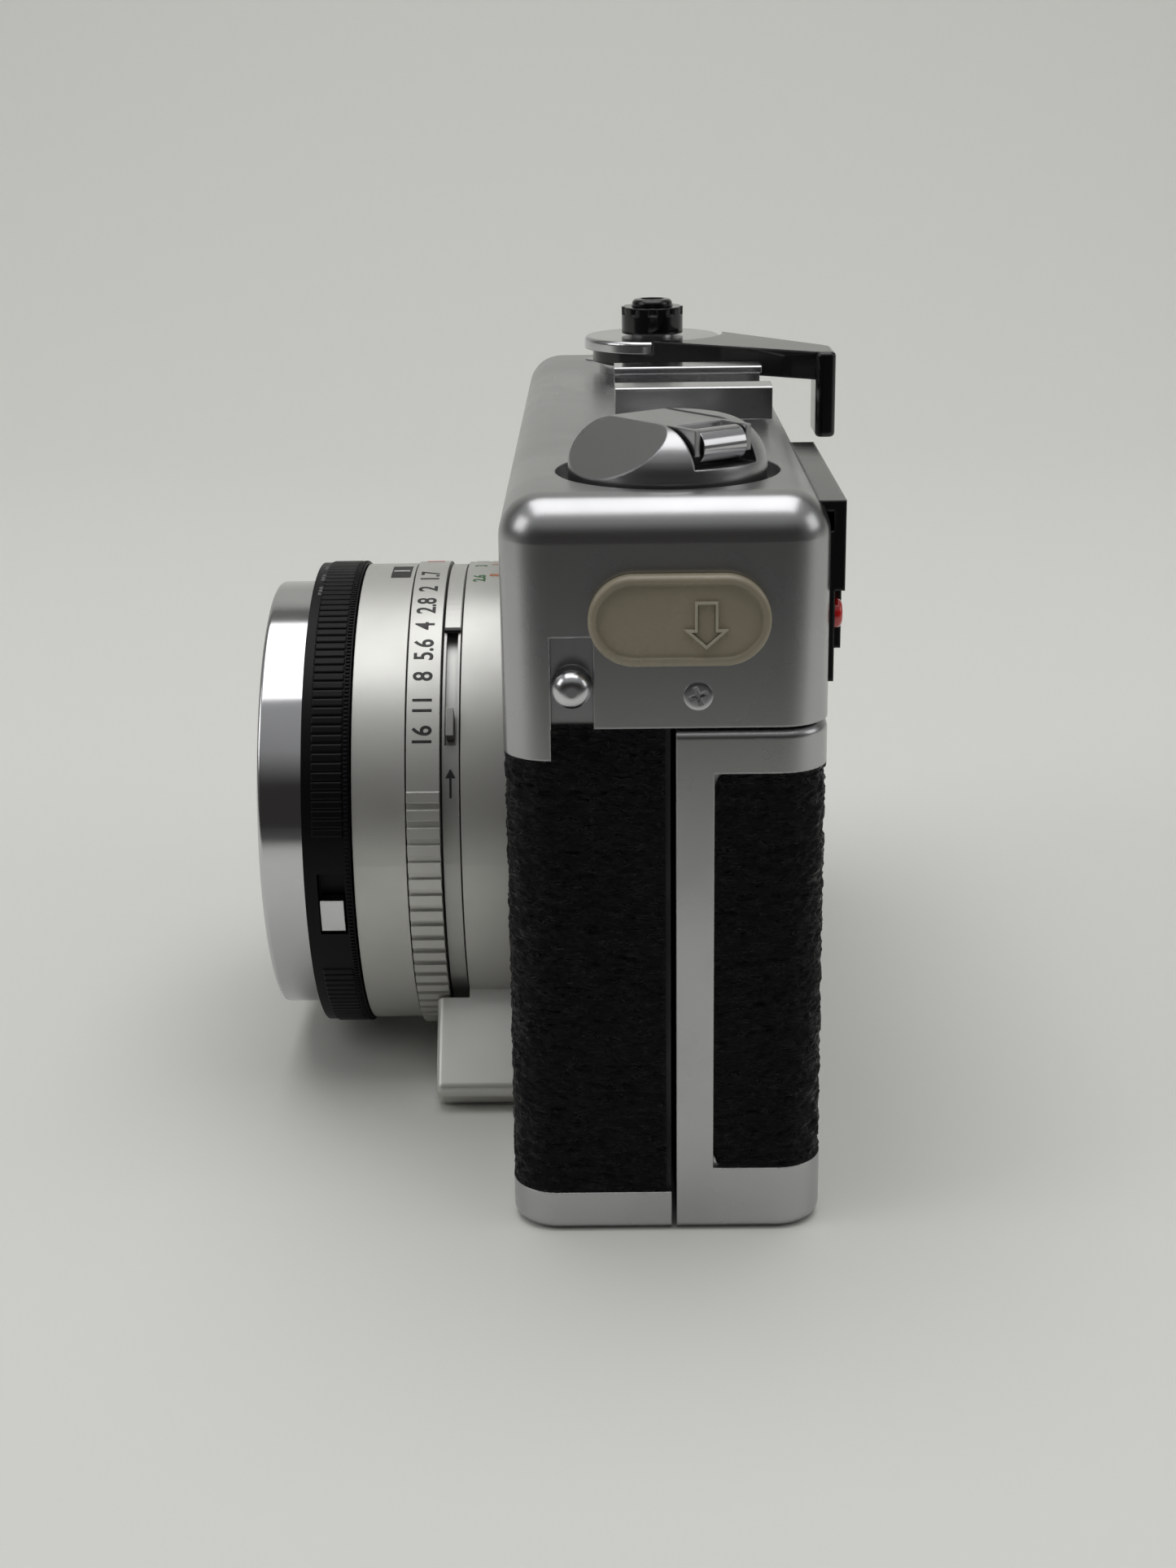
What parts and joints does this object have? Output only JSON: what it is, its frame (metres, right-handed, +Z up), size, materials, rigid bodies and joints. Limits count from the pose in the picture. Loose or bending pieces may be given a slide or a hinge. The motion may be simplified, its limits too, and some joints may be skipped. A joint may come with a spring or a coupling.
{
  "type": "half frame camera",
  "caption": "Compact fixed-lens film camera with rings on the lens barrel, thumb advance lever, folding rewind crank, accessory shoe and a hinged back door.",
  "frame": {"origin": "on the base's resting plane, under the middle of the body, where the lens axis's vertical plane meets the body's mid-depth plane", "axes": "+X along the body towards the rewind crank, -Y out of the lens, +Z up"},
  "size_m": [0.1122, 0.0641, 0.0808],
  "materials": {
    "satin_chrome": "satin chromed cover metal, fine bead-blasted",
    "bright_chrome": "polished chrome",
    "satin_lens": "satin anodised lens rings",
    "black_lens": "black anodised, finely ribbed",
    "black_gloss": "glossy black plastic",
    "black_paint": "matt black casting paint",
    "leatherette": "black wrinkled leatherette",
    "ivory_plastic": "satin ivory plastic",
    "lens_glass": "coated glass",
    "frosted_glass": "frosted window",
    "red_lamp": "clear red lamp lens",
    "steel": "plain steel",
    "dial_white": "black dial with white figures"
  },
  "bodies": {
    "chassis": {"body_casting": "black_paint", "base_plate": "satin_chrome", "tripod_socket": "steel", "battery_cell": "steel", "top_cover": "satin_chrome", "strap_lugs": "bright_chrome", "cover_screws": "steel", "front_leatherette": "leatherette", "hinge_pin": "steel", "lever_post": "bright_chrome", "release_collar": "black_gloss", "counter_window": "lens_glass", "accessory_shoe": "bright_chrome", "shoe_contact": "steel", "eyepiece_housing": "black_gloss", "eyepiece_glass": "lens_glass", "indicator_lamp": "red_lamp", "finder_bezel": "black_gloss", "finder_windows": "lens_glass", "frame_window": "frosted_glass", "lens_mount_plate": "black_paint"},
    "door": {"back_door": "satin_chrome", "door_leatherette": "leatherette", "pressure_spring": "steel"},
    "pressure": {"pressure_plate": "black_paint"},
    "latch": {"door_latch": "ivory_plastic", "latch_hook": "steel"},
    "battery_cap": {"battery_cover": "satin_chrome"},
    "rewind_release": {"rewind_release_button": "bright_chrome"},
    "rewind_lift": {"rewind_collar": "steel"},
    "rewind_spin": {"rewind_knob": "satin_chrome", "rewind_shaft": "steel", "crank_pin": "steel"},
    "crank": {"rewind_crank": "satin_chrome"},
    "roller": {"crank_roller": "bright_chrome"},
    "lever": {"advance_lever": "black_gloss", "lever_tip": "black_gloss", "lever_cap": "bright_chrome"},
    "spool": {"takeup_spool": "black_gloss"},
    "sprocket": {"film_sprocket": "black_gloss"},
    "counter": {"counter_dial": "dial_white"},
    "button": {"shutter_button": "bright_chrome"},
    "focus": {"focus_ring": "satin_lens", "focus_tab": "satin_lens"},
    "lens_unit": {"lens_barrel": "satin_lens", "index_ring": "satin_lens", "front_ring": "bright_chrome", "name_ring": "black_paint", "front_glass": "lens_glass", "rear_glass": "lens_glass"},
    "aperture": {"aperture_ring": "satin_lens"},
    "speed": {"speed_ring": "black_lens"},
    "film_speed": {"film_speed_lever": "satin_lens"},
    "timer": {"self_timer_lever": "bright_chrome"},
    "iris_1": {"iris_blade_1": "black_paint"},
    "iris_2": {"iris_blade_2": "black_paint"},
    "iris_3": {"iris_blade_3": "black_paint"},
    "iris_4": {"iris_blade_4": "black_paint"},
    "shutter_1": {"shutter_blade_1": "black_paint"},
    "shutter_2": {"shutter_blade_2": "black_paint"}
  },
  "joints": [
    {"name": "door_swing", "type": "hinge", "parent": "chassis", "child": "door", "pos_m": [-0.0524, 0.0023, 0.025], "axis": [0, 0, 1], "range_deg": [0, 110]},
    {"name": "pressure_press", "type": "slide", "parent": "door", "child": "pressure", "axis": [0, 1, 0], "range_m": [0, 0.0006], "stiffness_N_per_m": 400, "springref_m": -0.001},
    {"name": "latch_slide", "type": "slide", "parent": "chassis", "child": "latch", "axis": [0, 0, -1], "range_m": [0, 0.0025], "stiffness_N_per_m": 300, "springref_m": -0.002},
    {"name": "battery_cap_turn", "type": "hinge", "parent": "chassis", "child": "battery_cap", "pos_m": [0.0165, -0.0073, 0.0007], "axis": [0, 0, -1], "range_deg": [0, 60]},
    {"name": "rewind_release_press", "type": "slide", "parent": "chassis", "child": "rewind_release", "axis": [0, 0, 1], "range_m": [0, 0.0012], "stiffness_N_per_m": 300, "springref_m": -0.002},
    {"name": "rewind_pull", "type": "slide", "parent": "chassis", "child": "rewind_lift", "axis": [0, 0, 1], "range_m": [0, 0.005]},
    {"name": "rewind_turn", "type": "hinge", "parent": "rewind_lift", "child": "rewind_spin", "pos_m": [0.039, 0.0006, 0.074], "axis": [0, 0, 1], "continuous": true},
    {"name": "crank_flip", "type": "hinge", "parent": "rewind_spin", "child": "crank", "pos_m": [0.03533, -0.00217, 0.076], "axis": [0.6018, -0.7986, 0], "range_deg": [0, 165]},
    {"name": "roller_spin", "type": "hinge", "parent": "crank", "child": "roller", "pos_m": [0.04451, 0.00475, 0.0752], "axis": [0.6018, -0.7986, 0], "continuous": true},
    {"name": "lever_swing", "type": "hinge", "parent": "chassis", "child": "lever", "pos_m": [-0.0335, 0.0008, 0.074], "axis": [0, 0, 1], "range_deg": [0, 120], "stiffness_Nm_per_rad": 0.02, "springref_deg": -11.46},
    {"name": "spool_turn", "type": "hinge", "parent": "chassis", "child": "spool", "pos_m": [-0.0335, 0.0008, 0.03], "axis": [0, 0, 1], "range_deg": [0, 141]},
    {"name": "sprocket_turn", "type": "hinge", "parent": "chassis", "child": "sprocket", "pos_m": [-0.0155, 0.005, 0.03], "axis": [0, 0, 1], "range_deg": [0, 181]},
    {"name": "counter_turn", "type": "hinge", "parent": "chassis", "child": "counter", "pos_m": [-0.0455, -0.002, 0.07], "axis": [0, 0, 1], "range_deg": [0, 25]},
    {"name": "shutter_press", "type": "slide", "parent": "chassis", "child": "button", "axis": [0, 0, -1], "range_m": [0, 0.0012], "stiffness_N_per_m": 300, "springref_m": -0.002},
    {"name": "focus_turn", "type": "hinge", "parent": "chassis", "child": "focus", "pos_m": [0, -0.018, 0.0281], "axis": [0, -1, 0], "range_deg": [0, 50]},
    {"name": "lens_extend", "type": "slide", "parent": "chassis", "child": "lens_unit", "axis": [0, -1, 0], "range_m": [0, 0.0015]},
    {"name": "aperture_turn", "type": "hinge", "parent": "lens_unit", "child": "aperture", "pos_m": [0, -0.0247, 0.0281], "axis": [0, -1, 0], "range_deg": [0, 58]},
    {"name": "speed_turn", "type": "hinge", "parent": "lens_unit", "child": "speed", "pos_m": [0, -0.035, 0.0281], "axis": [0, -1, 0], "range_deg": [-60, 30]},
    {"name": "film_speed_set", "type": "hinge", "parent": "speed", "child": "film_speed", "pos_m": [0, -0.035, 0.0281], "axis": [0, -1, 0], "range_deg": [-1, 6]},
    {"name": "self_timer_set", "type": "hinge", "parent": "lens_unit", "child": "timer", "pos_m": [0, -0.022, 0.0281], "axis": [0, -1, 0], "range_deg": [0, 22]},
    {"name": "iris_1_swing", "type": "hinge", "parent": "lens_unit", "child": "iris_1", "pos_m": [0.012, -0.0265, 0.0281], "axis": [0, -1, 0], "range_deg": [0, 25]},
    {"name": "iris_2_swing", "type": "hinge", "parent": "lens_unit", "child": "iris_2", "pos_m": [0, -0.0265, 0.0401], "axis": [0, -1, 0], "range_deg": [0, 25]},
    {"name": "iris_3_swing", "type": "hinge", "parent": "lens_unit", "child": "iris_3", "pos_m": [-0.012, -0.0265, 0.0281], "axis": [0, -1, 0], "range_deg": [0, 25]},
    {"name": "iris_4_swing", "type": "hinge", "parent": "lens_unit", "child": "iris_4", "pos_m": [0, -0.0265, 0.0161], "axis": [0, -1, 0], "range_deg": [0, 25]},
    {"name": "shutter_1_swing", "type": "hinge", "parent": "lens_unit", "child": "shutter_1", "pos_m": [0, -0.0242, 0.0396], "axis": [0, 1, 0], "range_deg": [0, 40]},
    {"name": "shutter_2_swing", "type": "hinge", "parent": "lens_unit", "child": "shutter_2", "pos_m": [0, -0.0242, 0.0166], "axis": [0, 1, 0], "range_deg": [0, 40]}
  ],
  "couplings": [
    {"joint": "spool_turn", "follows": "lever_swing", "ratio": 1.1667},
    {"joint": "sprocket_turn", "follows": "lever_swing", "ratio": 1.5},
    {"joint": "counter_turn", "follows": "lever_swing", "ratio": 0.2},
    {"joint": "focus_turn", "follows": "lens_extend", "rad_per_m": 581.19},
    {"joint": "iris_1_swing", "follows": "aperture_turn", "ratio": 0.42931},
    {"joint": "iris_2_swing", "follows": "aperture_turn", "ratio": 0.42931},
    {"joint": "iris_3_swing", "follows": "aperture_turn", "ratio": 0.42931},
    {"joint": "iris_4_swing", "follows": "aperture_turn", "ratio": 0.42931},
    {"joint": "shutter_1_swing", "follows": "shutter_press", "rad_per_m": 580.32},
    {"joint": "shutter_2_swing", "follows": "shutter_press", "rad_per_m": 580.32}
  ]
}
